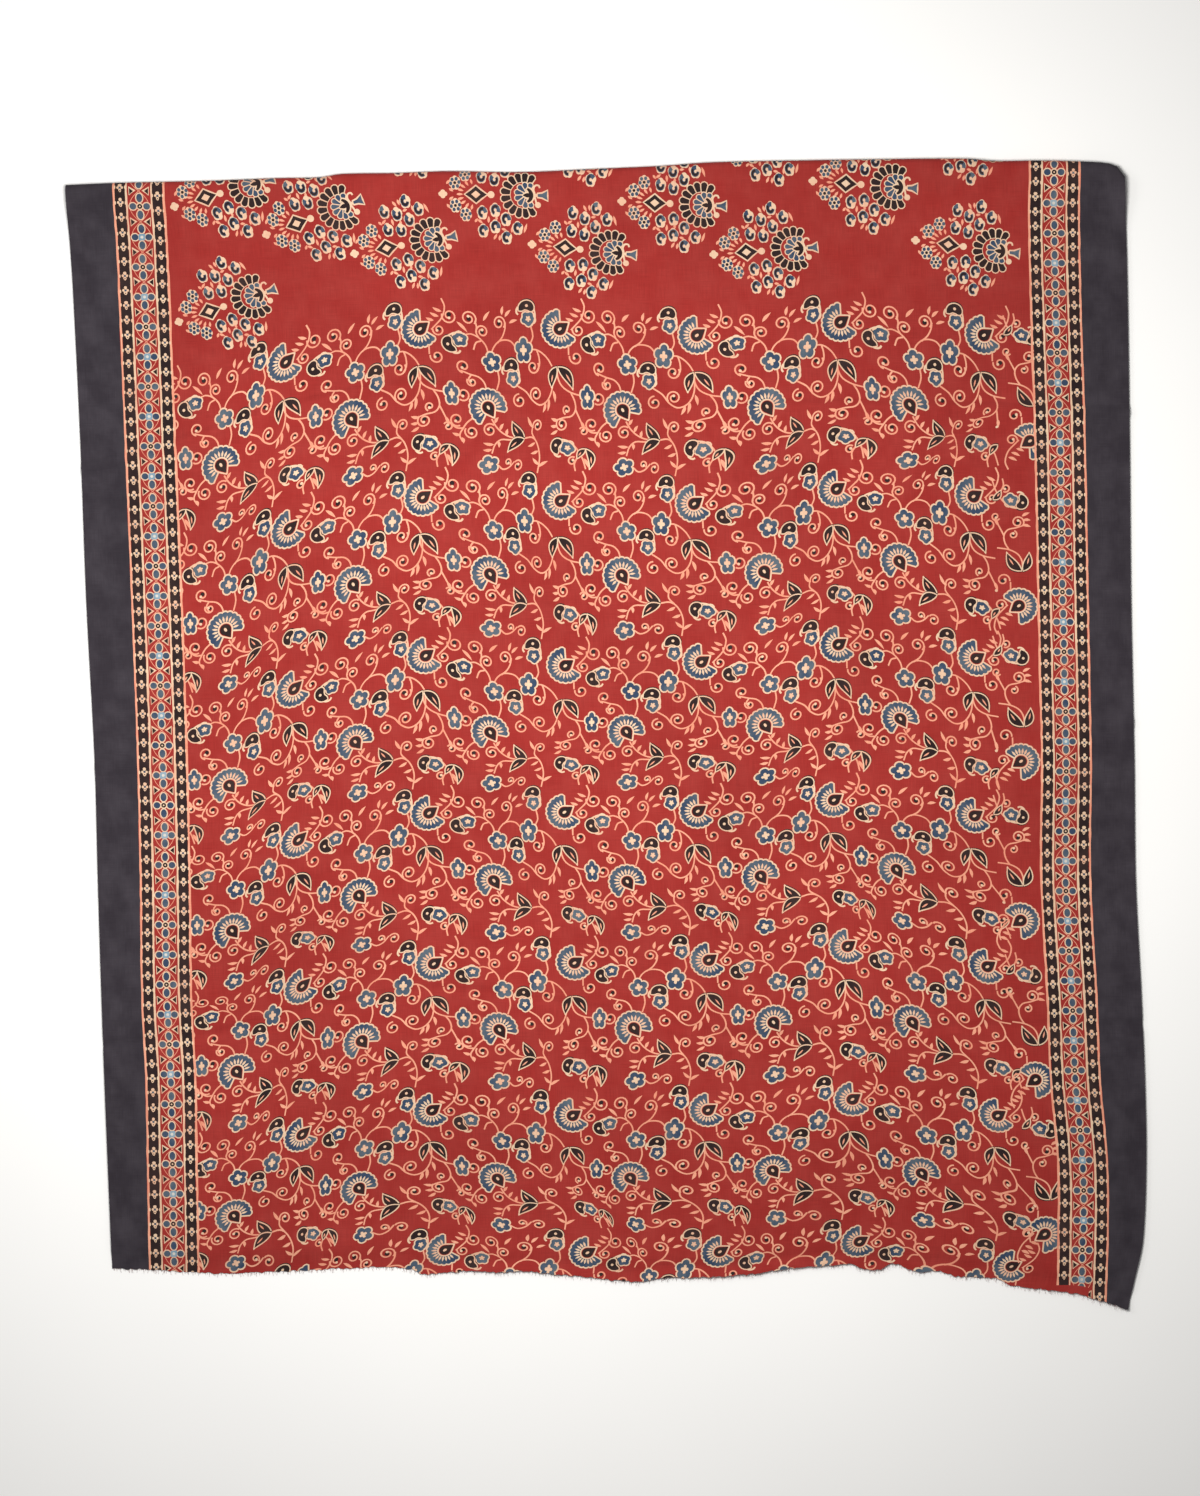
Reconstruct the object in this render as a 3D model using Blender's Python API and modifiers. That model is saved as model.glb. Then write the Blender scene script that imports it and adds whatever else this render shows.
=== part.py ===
"""An ajrakh cloth: a loom-width length of block-printed cloth, folded over once and laid on a flat surface.

The printed face lies up on the front layer, turns over in a soft roll at the top and comes back under it as the
back layer, printed face down. Units are metres, +Z is up, +Y runs from the raw lower end towards the roll, and the
origin is the middle of the cloth's outline on the surface that it lies on.
"""

from math import cos, hypot, pi, sin

import bmesh
import bpy

MM = 0.001

CLOTH_THICKNESS = 1.2 * MM
LAYER_GAP = 2.0 * MM
ROLL_RADIUS = 6.0 * MM
ROLL_SHOULDER = 55 * MM
FACE_HEIGHT = 2 * CLOTH_THICKNESS + LAYER_GAP

# The front layer's outline and its storage creases, in millimetres. ACROSS runs from 0 at the left selvedge to 1 at
# the right one, and DOWN from 0 at the roll to 1 at the raw lower end.
# Columns: down, left selvedge's x, right selvedge's x
SELVEDGES = (
    (0.00, -583.0, 557.0),
    (0.03, -580.0, 561.0),
    (0.09, -575.5, 563.0),
    (0.24, -567.0, 565.0),
    (0.39, -561.5, 567.0),
    (0.54, -553.0, 570.0),
    (0.68, -548.5, 573.5),
    (0.76, -545.0, 578.0),
    (0.88, -541.0, 583.0),
    (0.93, -539.0, 582.0),
    (0.97, -537.0, 574.0),
    (1.00, -535.5, 564.0),
)
# Columns: across, y of the roll's outer edge
ROLL_LINE = (
    (0.00, 591.0),
    (0.06, 594.5),
    (0.15, 598.0),
    (0.25, 603.0),
    (0.34, 607.5),
    (0.48, 609.0),
    (0.54, 612.0),
    (0.60, 617.0),
    (0.74, 621.0),
    (0.84, 620.0),
    (0.92, 617.5),
    (1.00, 614.0),
)
# Columns: across, y of the raw lower end
LOWER_END = (
    (0.00, -578.0),
    (0.08, -581.5),
    (0.14, -582.5),
    (0.25, -576.0),
    (0.31, -583.5),
    (0.40, -581.5),
    (0.46, -587.0),
    (0.51, -591.0),
    (0.57, -587.0),
    (0.68, -575.0),
    (0.75, -579.5),
    (0.82, -582.0),
    (0.88, -594.5),
    (0.92, -603.0),
    (0.96, -611.0),
    (1.00, -621.0),
)
# Columns: across, y of the upper, middle and lower crease left by its years folded on a shelf
CREASE_LINES = (
    (0.00, 285.0, -39.0, -336.0),
    (0.10, 317.0, -31.0, -326.0),
    (0.21, 355.0, -20.0, -296.0),
    (0.33, 376.0, -12.0, -277.0),
    (0.49, 349.0, -12.0, -301.0),
    (0.62, 353.0, -9.0, -327.0),
    (0.76, 354.0, 0.0, -319.0),
    (1.00, 347.0, 12.0, -314.0),
)
# Where each of those creases lies down the cloth, and how far it stands above the face, in millimetres
CREASES = (
    {"down": 0.20, "height": 1.7},
    {"down": 0.51, "height": 1.1},
    {"down": 0.76, "height": -1.1},
)
CREASE_HALF_WIDTH = 17 * MM

# The crease down the middle grows towards the lower end. Columns: down, height in millimetres
MIDDLE_CREASE_ACROSS = 0.481
MIDDLE_CREASE = ((0.00, 0.0), (0.22, 0.0), (0.40, 0.5), (0.66, 0.7), (0.80, 1.6), (1.00, 1.9))
MIDDLE_CREASE_HALF_WIDTH = 14 * MM

# Soft swells where the cloth doesn't lie quite flat, in millimetres
SWELLS = (
    {"x": -140, "y": 190, "long": 210, "wide": 70, "lean": 0.35, "height": 2.6},
    {"x": -250, "y": -70, "long": 260, "wide": 90, "lean": 0.20, "height": 2.8},
    {"x": 160, "y": -60, "long": 170, "wide": 75, "lean": -0.25, "height": 2.6},
    {"x": 430, "y": -40, "long": 150, "wide": 80, "lean": 0.10, "height": 2.4},
    {"x": -330, "y": 470, "long": 190, "wide": 60, "lean": 0.45, "height": 2.2},
    {"x": 330, "y": 470, "long": 260, "wide": 75, "lean": -0.10, "height": 2.4},
    {"x": -300, "y": -395, "long": 230, "wide": 65, "lean": 0.15, "height": 2.6},
    {"x": 290, "y": -430, "long": 250, "wide": 70, "lean": -0.20, "height": 3.0},
    {"x": 530, "y": -520, "long": 55, "wide": 95, "lean": 0.60, "height": 4.2},
)

# The raw lower end curls up off the surface. Columns: across, height of the curl in millimetres
END_CURL = ((0.00, 0.4), (0.28, 0.6), (0.36, 3.0), (0.50, 2.2), (0.60, 4.2), (0.72, 3.6), (0.84, 1.6), (0.95, 2.6),
            (1.00, 4.6))
END_CURL_WIDTH = 13 * MM
END_DROP_WIDTH = 26 * MM

# The back layer stays out of sight behind the front one
BACK_SHORTER = 34 * MM
BACK_NARROWER = 4 * MM

COLUMNS_BESIDE_MIDDLE_CREASE = 16
ROWS_BETWEEN_CREASES = 5
ROWS_OVER_ROLL = 8
ROWS_IN_BACK = 5


def smooth_through(rows, at, column=1):
    """The value at a station, on a curve that runs smoothly through a column of a table."""
    stations = [row[0] for row in rows]
    values = [row[column] for row in rows]
    last = len(rows) - 1
    at = min(max(at, stations[0]), stations[-1])
    k = max(i for i in range(last) if stations[i] <= at)

    def slope(i):
        low, high = max(i - 1, 0), min(i + 1, last)
        return (values[high] - values[low]) / (stations[high] - stations[low])

    span = stations[k + 1] - stations[k]
    f = (at - stations[k]) / span
    start = values[k] * (1 + 2 * f) * (1 - f) ** 2 + slope(k) * span * f * (1 - f) ** 2
    end = values[k + 1] * f * f * (3 - 2 * f) + slope(k + 1) * span * f * f * (f - 1)
    return start + end


def ease(f):
    """Rises smoothly from 0 to 1."""
    f = min(max(f, 0.0), 1.0)
    return f * f * (3 - 2 * f)


def soft_ridge(distance, half_width):
    """1 on a ridge's line, 0 from its half width on."""
    f = min(abs(distance) / half_width, 1.0)
    return (1 - f * f) ** 2


def plan(across, down):
    """x and y of a point of the front layer."""
    left = smooth_through(SELVEDGES, down, 1)
    right = smooth_through(SELVEDGES, down, 2)
    x = left + (right - left) * across
    roll = smooth_through(ROLL_LINE, across) - ROLL_RADIUS / MM
    lines = [(0.0, roll)]
    for number, crease in enumerate(CREASES):
        lines.append((crease["down"], smooth_through(CREASE_LINES, across, number + 1)))
    lines.append((1.0, smooth_through(LOWER_END, across)))
    return x * MM, smooth_through(lines, down) * MM


def relief(across, down):
    """How far the front layer's face stands above its resting height, away from the roll and the lower end."""
    x, y = plan(across, down)
    height = 0.0
    for crease in CREASES:
        line_y = plan(across, crease["down"])[1]
        height += crease["height"] * MM * soft_ridge(y - line_y, CREASE_HALF_WIDTH)
    middle_x = plan(MIDDLE_CREASE_ACROSS, down)[0]
    middle = soft_ridge(x - middle_x, MIDDLE_CREASE_HALF_WIDTH)
    height += smooth_through(MIDDLE_CREASE, down) * MM * middle
    for swell in SWELLS:
        dx, dy = x / MM - swell["x"], y / MM - swell["y"]
        along = (dx + dy * swell["lean"]) / swell["long"]
        over = (dy - dx * swell["lean"]) / swell["wide"]
        height += swell["height"] * MM * soft_ridge(hypot(along, over), 1.0)
    return height


def front_face(across, down):
    """A point of the printed face on the front layer."""
    x, y = plan(across, down)
    from_roll = plan(across, 0.0)[1] - y
    from_end = y - plan(across, 1.0)[1]
    shoulder = 1 - ease(from_roll / ROLL_SHOULDER)
    drop = 1 - ease(from_end / END_DROP_WIDTH)
    curl = (1 - ease(from_end / END_CURL_WIDTH)) * smooth_through(END_CURL, across) * MM
    lying = FACE_HEIGHT + relief(across, down) * ease(from_end / END_DROP_WIDTH)
    height = lying + (2 * ROLL_RADIUS - lying) * shoulder
    height += (CLOTH_THICKNESS - height) * drop + curl
    return x, y, height


def roll_face(across, turn):
    """A point of the printed face on the roll. Turn runs from 0 at its top to 1 where it meets the surface."""
    x, y = plan(across, 0.0)
    angle = turn * pi
    return x, y + ROLL_RADIUS * sin(angle), ROLL_RADIUS * (1 + cos(angle))


def back_face(across, down):
    """A point of the printed face on the back layer, which lies on the surface."""
    x, y = plan(across, down)
    middle = plan(0.5, down)[0]
    half_width = plan(1.0, down)[0] - middle
    x = middle + (x - middle) * (1 - ease(down / 0.1) * BACK_NARROWER / half_width)
    roll_y = plan(across, 0.0)[1]
    end_y = plan(across, 1.0)[1] + BACK_SHORTER
    return x, roll_y + (end_y - roll_y) * down, 0.0


def spaced(start, end, count):
    """Stations from start up to but without end."""
    return [start + (end - start) * i / count for i in range(count)]


def columns():
    """Stations across the cloth, closer together at the middle crease."""
    width = (SELVEDGES[0][2] - SELVEDGES[0][1]) * MM
    near = MIDDLE_CREASE_HALF_WIDTH / width
    low, high = MIDDLE_CREASE_ACROSS - near, MIDDLE_CREASE_ACROSS + near
    return (
        spaced(0.0, low, COLUMNS_BESIDE_MIDDLE_CREASE)
        + spaced(low, high, 4)
        + spaced(high, 1.0, COLUMNS_BESIDE_MIDDLE_CREASE)
        + [1.0]
    )


def front_rows():
    """Stations down the front layer, from the lower end up to the roll, closer together at each crease."""
    length = (ROLL_LINE[5][1] - LOWER_END[7][1]) * MM
    near = CREASE_HALF_WIDTH / length
    end_zone = END_DROP_WIDTH / length
    shoulder = ROLL_SHOULDER / length
    rows = spaced(1.0, 1.0 - end_zone, 4)
    top = 1.0 - end_zone
    for crease in reversed(CREASES):
        rows += spaced(top, crease["down"] + near, ROWS_BETWEEN_CREASES)
        rows += spaced(crease["down"] + near, crease["down"] - near, 4)
        top = crease["down"] - near
    return rows + spaced(top, shoulder, 3) + spaced(shoulder, 0.0, 4)


def cloth_stations():
    """The whole cloth's rows, each the face that it lies on and its station there."""
    rows = [(front_face, down) for down in front_rows()]
    rows += [(roll_face, turn) for turn in spaced(0.0, 1.0, ROWS_OVER_ROLL)]
    rows += [(back_face, down) for down in spaced(0.0, 1.0, ROWS_IN_BACK)]
    return rows + [(back_face, 1.0)]


def cloth_mesh():
    """The printed face as one sheet: a flat grid, moved row by row to where the cloth lies."""
    across, rows = columns(), cloth_stations()
    wide, long = len(across) - 1, len(rows) - 1
    sheet = bmesh.new()
    bmesh.ops.create_grid(sheet, x_segments=wide, y_segments=long, size=0.5)
    for point in sheet.verts:
        column = round((point.co.x + 0.5) * wide)
        face, station = rows[round((point.co.y + 0.5) * long)]
        point.co = face(across[column], station)
    mesh = bpy.data.meshes.new("cloth")
    sheet.to_mesh(mesh)
    sheet.free()
    return mesh


def dyed_cloth():
    """The madder red ground of the cloth."""
    material = bpy.data.materials.new("madder_red_cloth")
    material.use_nodes = True
    shader = material.node_tree.nodes["Principled BSDF"]
    shader.inputs["Base Color"].default_value = (0.40, 0.045, 0.04, 1.0)
    shader.inputs["Roughness"].default_value = 0.85
    shader.inputs["Metallic"].default_value = 0.0
    return material


def main():
    for thing in list(bpy.data.objects):
        bpy.data.objects.remove(thing)
    group = bpy.data.collections.new("ajrakh_cloth")
    bpy.context.scene.collection.children.link(group)

    cloth = bpy.data.objects.new("cloth", cloth_mesh())
    group.objects.link(cloth)
    cloth.data.materials.append(dyed_cloth())
    cloth.data.shade_smooth()
    body = cloth.modifiers.new("thickness", "SOLIDIFY")
    body.thickness = CLOTH_THICKNESS
    body.offset = -1.0
    body.use_rim = True


main()
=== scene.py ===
"""The looks of the ajrakh cloth: its printed face, reverse and frayed end, and the floor, light and camera.

Lengths are millimetres until a mesh is made, which is in metres. A place on the printed face is given on the
cloth itself: u runs across from the left selvedge, and y up the front layer, over the roll and back along the
back layer. The print is charted on squares of SQUARE, x to the right and y down, as a block lies before its
printer.
"""

import random
from math import cos, pi, radians, sin

import bpy
import numpy as np
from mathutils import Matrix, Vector
from mathutils.geometry import delaunay_2d_cdt

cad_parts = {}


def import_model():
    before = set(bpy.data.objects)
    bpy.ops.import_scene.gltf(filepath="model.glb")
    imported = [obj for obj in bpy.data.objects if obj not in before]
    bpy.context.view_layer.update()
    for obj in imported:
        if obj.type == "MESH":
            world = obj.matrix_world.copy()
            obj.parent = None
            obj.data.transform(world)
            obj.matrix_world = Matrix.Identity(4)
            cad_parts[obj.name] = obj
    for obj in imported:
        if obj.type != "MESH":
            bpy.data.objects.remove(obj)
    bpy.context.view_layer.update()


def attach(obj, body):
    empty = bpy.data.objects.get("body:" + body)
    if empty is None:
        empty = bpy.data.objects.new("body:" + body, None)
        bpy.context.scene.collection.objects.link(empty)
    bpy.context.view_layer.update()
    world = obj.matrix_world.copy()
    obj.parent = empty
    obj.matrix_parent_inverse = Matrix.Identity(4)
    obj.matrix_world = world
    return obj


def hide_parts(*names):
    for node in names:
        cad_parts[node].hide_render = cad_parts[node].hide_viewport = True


MM = 0.001
SQUARE = 1.08

LOOM_WIDTH = 1128.0
THICKNESS = 0.9
LAYER_GAP = 2.0
SOLID_THICKNESS = 1.2
ROLL_RADIUS = 6.0
ROLL_SHOULDER = 55.0
FACE_HEIGHT = 2 * SOLID_THICKNESS + LAYER_GAP

# Columns: y, left selvedge's x, right selvedge's x, width of the left plain black band, and of the right one
SELVEDGES = (
    (-621, -533.0, 564.0, 40.0, 24.0),
    (-590, -533.5, 571.0, 40.5, 30.0),
    (-547, -535.0, 580.0, 41.0, 38.0),
    (-461, -538.5, 583.5, 42.5, 41.5),
    (-374, -542.0, 582.0, 44.5, 47.5),
    (-288, -545.0, 578.5, 43.0, 47.5),
    (-158, -549.0, 572.0, 45.5, 48.0),
    (-29, -552.5, 570.5, 46.0, 46.0),
    (144, -561.5, 567.0, 48.5, 45.5),
    (317, -568.0, 565.5, 47.5, 47.0),
    (490, -576.5, 563.0, 48.5, 49.5),
    (576, -582.5, 560.5, 50.0, 48.0),
    (616, -583.0, 558.0, 50.0, 46.0),
)
# Columns: across, y of the roll's outer edge
ROLL_LINE = (
    (0.00, 592.0),
    (0.05, 594.5),
    (0.13, 596.5),
    (0.20, 599.5),
    (0.24, 600.5),
    (0.26, 604.0),
    (0.31, 605.0),
    (0.36, 607.0),
    (0.43, 606.0),
    (0.50, 609.5),
    (0.56, 612.5),
    (0.61, 616.5),
    (0.69, 618.5),
    (0.78, 620.0),
    (0.85, 620.5),
    (0.88, 618.0),
    (0.92, 618.5),
    (0.96, 617.5),
    (0.985, 615.5),
    (0.995, 611.0),
    (1.00, 602.0),
)
# Columns: across, y of the raw lower end
LOWER_END = (
    (0.00, -578.0),
    (0.05, -580.5),
    (0.085, -583.0),
    (0.125, -583.5),
    (0.185, -580.5),
    (0.24, -577.5),
    (0.27, -577.0),
    (0.293, -579.5),
    (0.303, -584.0),
    (0.32, -583.0),
    (0.35, -580.5),
    (0.38, -582.0),
    (0.40, -580.5),
    (0.425, -583.5),
    (0.467, -587.5),
    (0.497, -591.5),
    (0.517, -592.5),
    (0.531, -589.0),
    (0.595, -586.5),
    (0.633, -582.5),
    (0.652, -578.5),
    (0.71, -573.5),
    (0.723, -573.5),
    (0.731, -578.0),
    (0.749, -579.0),
    (0.758, -573.5),
    (0.768, -574.5),
    (0.78, -580.0),
    (0.791, -583.0),
    (0.80, -580.0),
    (0.813, -582.0),
    (0.825, -586.5),
    (0.868, -589.5),
    (0.876, -595.0),
    (0.91, -600.5),
    (0.949, -606.0),
    (0.97, -612.5),
    (1.00, -622.0),
)
# Columns: across, y of the upper, middle and lower crease
CREASE_LINES = (
    (0.00, 285.0, -39.0, -336.0),
    (0.10, 317.0, -31.0, -326.0),
    (0.21, 355.0, -20.0, -296.0),
    (0.33, 376.0, -12.0, -277.0),
    (0.49, 349.0, -12.0, -301.0),
    (0.62, 353.0, -9.0, -327.0),
    (0.76, 354.0, 0.0, -319.0),
    (1.00, 347.0, 12.0, -314.0),
)
CREASE_HEIGHTS = (2.0, 1.3, -1.3)
CREASE_HALF_WIDTH = 9.0
MIDDLE_CREASE_ACROSS = 0.481
# Columns: y, height of the crease down the middle
MIDDLE_CREASE = ((-590, 1.9), (-360, 1.6), (-200, 0.7), (110, 0.5), (330, 0.0), (600, 0.0))
MIDDLE_CREASE_HALF_WIDTH = 14.0
# Soft swells where the cloth doesn't lie quite flat
SWELLS = (
    {"x": -140, "y": 190, "long": 210, "wide": 70, "lean": 0.35, "height": 2.6},
    {"x": -250, "y": -70, "long": 260, "wide": 90, "lean": 0.20, "height": 2.8},
    {"x": 160, "y": -60, "long": 170, "wide": 75, "lean": -0.25, "height": 2.6},
    {"x": 430, "y": -40, "long": 150, "wide": 80, "lean": 0.10, "height": 2.4},
    {"x": -330, "y": 470, "long": 190, "wide": 60, "lean": 0.45, "height": 2.2},
    {"x": 330, "y": 470, "long": 260, "wide": 75, "lean": -0.10, "height": 2.4},
    {"x": -300, "y": -395, "long": 230, "wide": 65, "lean": 0.15, "height": 2.6},
    {"x": 290, "y": -430, "long": 250, "wide": 70, "lean": -0.20, "height": 3.0},
    {"x": 530, "y": -520, "long": 55, "wide": 95, "lean": 0.60, "height": 4.2},
)
# Columns: across, height of the raw end's curl
END_CURL = (
    (0.00, 0.4),
    (0.28, 0.6),
    (0.36, 3.0),
    (0.50, 2.2),
    (0.60, 4.2),
    (0.72, 3.6),
    (0.84, 1.6),
    (0.95, 2.6),
    (1.00, 4.6),
)
END_CURL_WIDTH = 13.0
END_DROP_WIDTH = 26.0
BACK_SHORTER = 34.0
BACK_NARROWER = 4.0

# The weft bows as it crosses the loom, and the printed rows bow with it. Columns: across, drop
WEFT_BOW = (
    (0.00, 68.0),
    (0.06, 64.0),
    (0.13, 53.0),
    (0.19, 28.0),
    (0.25, 10.0),
    (0.32, -4.0),
    (0.385, -1.0),
    (0.45, 0.0),
    (0.58, -2.0),
    (0.65, -6.0),
    (0.715, -16.0),
    (0.78, -11.0),
    (0.85, -2.0),
    (1.00, 2.0),
)
# Where the printer meant to set each row of blocks, at the middle of the loom
# Columns: row, y of the upper fans
BLOCK_ROWS = (
    (-1, 609.0),
    (0, 430.0),
    (1, 250.0),
    (2, 76.0),
    (3, -87.0),
    (4, -249.0),
    (5, -411.0),
    (6, -561.0),
    (7, -708.0),
)
# and each column of blocks, by the upper fans' distance from the left selvedge
BLOCK_COLUMNS = (68.0, 214.0, 359.0, 511.5, 659.0, 806.5, 955.0)
# How many squares of the chart a block covers
BLOCK_SQUARES = (136.0, 164.0)
# How near a listed fan has to be, in blocks, to draw the print around it along
HOLD = 0.3

# Where the fans really came out, row by row, from the second column of blocks on. Each place: x, y
UPPER_FANS = (
    ((-346, 401), (-201, 437), (-50, 437), (98, 430), (253, 444), (408, 430)),
    ((-342, 221), (-198, 255), (-49, 251), (95, 248), (249, 264), (397, 256)),
    ((-337, 48), (-195, 84), (-44, 73), (103, 77), (251, 96), (400, 81)),
    ((-332, -115), (-191, -86), (-45, -85), (99, -84), (246, -72), (398, -89)),
    ((-328, -273), (-186, -249), (-34, -248), (111, -245), (261, -230), (412, -252)),
    ((-328, -433), (-188, -407), (-36, -413), (110, -407), (266, -395), (423, -413)),
    ((-322, -591), (-174, -558), (-20, -561), (123, -560), (274, -549), (438, -576)),
)
# The lower fans, from the first column of blocks on
LOWER_FANS = (
    ((-416, 290), (-275, 340), (-127, 352), (18, 349), (174, 353), (328, 355)),
    ((-411, 112), (-273, 161), (-125, 172), (17, 171), (171, 175), (317, 186)),
    ((-407, -56), (-271, -9), (-125, 1), (22, 2), (172, 9), (318, 16)),
    ((-404, -213), (-267, -175), (-121, -159), (23, -160), (167, -154), (314, -147)),
    ((-399, -365), (-264, -332), (-115, -320), (30, -318), (181, -312), (331, -312)),
    ((-402, -521), (-267, -491), (-117, -481), (26, -480), (180, -472), (341, -475)),
)
# The fans of the turned blocks at the right edge
TURNED_FANS = ((458, 316), (446, 138), (448, -30), (448, -202), (464, -374), (474, -541))

# The chart of one block, in squares from the middle of its upper fan flower
# Columns: x, y, which way its teardrop points, hand, how far the petals go round it
FANS = ((0, 0, 35, 1, 236), (61, 73, 300, -1, 254))
# Columns: x, y, half height, half width, lean
STARS = ((67, 29, 9.4, 9.2, 10), (103, 20, 11.8, 9.0, -5), (26, 62, 11.0, 6.8, 0), (62, 129, 8.6, 9.8, 20))
# Columns: x, y, which way the bud's black head points, size
BUDS = ((110, -10, 92, 1.0), (88, 45, 90, 1.0), (38, 9, 203, 1.0), (7, 111, 165, 0.95))
# A bud that points up, from the middle of its blossom, y up: its black head, its hook and its side line
BUD_HEAD = ((-8.8, 8.4), (-8.4, 12.6), (-5.2, 16.6), (0.2, 18.0), (4.6, 16.0), (6.4, 12.0), (5.6, 8.4),
            (3.0, 7.4), (0.2, 8.8), (-3.0, 9.4), (-5.8, 8.2), (-8.8, 8.4))
BUD_HOOK = ((-9.4, 12.0), (-11.0, 9.4), (-11.2, 6.4), (-9.8, 4.4))
BUD_SIDE = ((5.4, 12.4), (6.8, 8), (7.2, 2), (5.6, -3), (3, -7))
# How far the black block missed the rims left for it
MISSED_BY = (0.4, -1.0)
# Columns: stalk x, y, tip x, y, bulge, width
LEAVES = (
    (-5, 37, -11, 55, -1.8, 7.2),
    (-3, 37, 11, 55, 2.6, 8.4),
    (98, 102, 85, 87, 2.4, 8.4),
    (98, 103, 81, 115, -2.6, 8.0),
    (24, 112, 17, 121, -1.2, 4.8),
    (25, 112, 29, 131, 3.4, 5.6),
)
# Columns: x, y, radius, the angle where it starts, hand, turns
SPIRALS = (
    (29, -13, 7.2, 165, 1, 1.3),
    (48, -12, 7.2, -45, 1, 1.4),
    (60, 0, 5.8, 190, -1, 1.3),
    (79, -7, 6.6, -45, 1, 1.35),
    (18, 1, 5.6, 175, 1, 1.1),
    (15, 27, 6.4, 170, 1, 1.1),
    (39, 35, 6.2, 260, -1, 1.1),
    (46, 49, 4.8, 150, 1, 1.0),
    (37, 62, 6.2, 235, 1, 1.05),
    (5, 75, 4.2, 250, -1, 1.0),
    (0, 88, 6.2, 135, 1, 1.35),
    (22, 94, 4.4, 150, -1, 1.1),
    (30, 87, 6.4, -60, -1, 1.2),
    (44, 98, 6.4, 150, 1, 1.35),
    (62, 95, 6.4, 50, 1, 1.3),
    (113, 90, 5.8, 200, -1, 1.3),
    (112, 61, 6.6, 215, -1, 1.35),
    (93, 66, 6.6, 90, 1, 1.2),
    (112, 36, 6.4, 30, -1, 1.2),
    (95, 129, 5.6, 140, -1, 1.2),
    (82, 126, 3.8, -40, 1, 1.0),
    (12, 124, 4.4, 60, 1, 1.0),
)
# Each stem's places, from its thick end
STEMS = (
    ((110, 20), (116, 20), (122, 23), (128, 29), (132, 36)),
    ((117, 20), (119, 27), (119, 35), (115, 41)),
    ((95, 17), (90, 11), (83, 9), (76, 10), (70, 15), (67, 21)),
    ((75, 11), (81, 6), (85, -1), (86, -7)),
    ((64, 21), (62, 13), (56, 6), (49, 3), (44, 4)),
    ((58, 9), (53, 11), (50, 18)),
    ((54, -10), (55, -4), (54, 1), (56, 6)),
    ((72, 36), (73, 46), (70, 56)),
    ((112, -4), (114, 7), (111, 14)),
    ((92, 52), (101, 58), (107, 66), (115, 71), (123, 69), (129, 62), (132, 52), (132, 38)),
    ((-4, 38), (-4, 46), (0, 54), (9, 59), (21, 61)),
    ((60, 56), (58, 49), (53, 44), (45, 42), (36, 39)),
    ((46, 42), (43, 47), (46, 53)),
    ((9, 59), (13, 66), (14, 74), (10, 80), (2, 82), (-4, 84)),
    ((14, 74), (18, 82), (22, 90)),
    ((22, -30), (25, -22), (22, -11), (15, -3), (11, 1)),
    ((11, 106), (17, 113), (22, 122), (25, 132)),
    ((17, 120), (14, 127), (15, 134)),
    ((64, 84), (68, 91), (74, 97), (82, 101), (91, 102), (98, 102)),
    ((95, 103), (82, 104), (73, 104), (67, 109), (64, 118)),
    ((71, 129), (77, 133), (84, 131), (90, 125)),
    ((99, 102), (107, 101), (113, 104), (118, 112), (120, 122), (118, 136)),
    ((112, 103), (107, 97), (107, 91)),
    ((46, 84), (40, 89), (36, 95), (33, 102), (36, 108)),
    ((36, 95), (30, 95), (24, 91)),
    ((8, 17), (8, 25)),
)
# Small tapered leaves. Columns: x and y of the stalk end, x and y of the tip
TICKS = (
    (14, -8, 6, -11),
    (19, -12, 10, -16),
    (22, -17, 13, -21),
    (62, -10, 70, -19),
    (36, -8, 46, 2),
    (83, -14, 85, -23),
    (86, -12, 93, -19),
    (90, -6, 99, -9),
    (123, 69, 119, 78),
    (127, 65, 125, 77),
    (132, 58, 134, 69),
    (-4, 85, -13, 83),
    (-5, 90, -13, 90),
    (-4, 94, -12, 98),
    (67, 88, 71, 82),
    (72, 95, 76, 88),
    (79, 100, 80, 93),
    (113, 106, 104, 110),
    (118, 114, 109, 117),
    (120, 128, 112, 121),
    (119, 130, 129, 124),
    (66, 109, 55, 108),
    (64, 114, 55, 115),
    (70, 105, 71, 112),
    (107, 92, 101, 81),
    (34, 102, 26, 100),
    (35, 104, 37, 110),
    (23, 121, 28, 131),
    (19, 84, 23, 94),
)

# Above this y a place is measured on along the cloth, over the roll
ROLL_BEGINS = 600.0

# The medallion of the end panel, in squares from the cream ball on its axis, and the same on both sides of it
MEDALLION_FAN = 31.5
MEDALLION_CORE = 36.5
MEDALLION_LOZENGE = -15.5
MEDALLION_TIP = -47.5
# Columns: x, y, how far round the little flower's opening looks
LITTLE_FLOWERS = (
    (-9.0, 35.3, 40),
    (3.0, 31.0, 70),
    (13.8, 41.8, 20),
    (25.0, 32.2, 30),
    (13.8, 23.6, 60),
    (-9.3, 17.4, 50),
    (3.5, 14.8, 75),
)
# Columns: x, y
SPOTTED_FLOWERS = ((-35.5, 11.0), (-25.5, 19.4))
# Columns: x and y of the thick end, x and y of the thin end
MEDALLION_TICKS = (
    (1.0, 44.0, 4.5, 38.0),
    (6.5, 45.0, 7.5, 39.0),
    (-3.5, 27.5, -3.0, 20.5),
    (5.0, 24.5, 4.0, 20.0),
    (31.0, 37.0, 34.5, 27.0),
    (-17.0, 27.0, -14.0, 23.0),
    (-41.5, 5.5, -37.0, 2.5),
    (-14.0, 24.0, -9.0, 28.0),
    (9.0, 33.0, 14.0, 34.0),
    (9.0, 19.0, 18.0, 17.0),
    (19.0, 37.0, 20.0, 30.0),
    (-44.0, 9.5, -40.5, 14.0),
)
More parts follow.
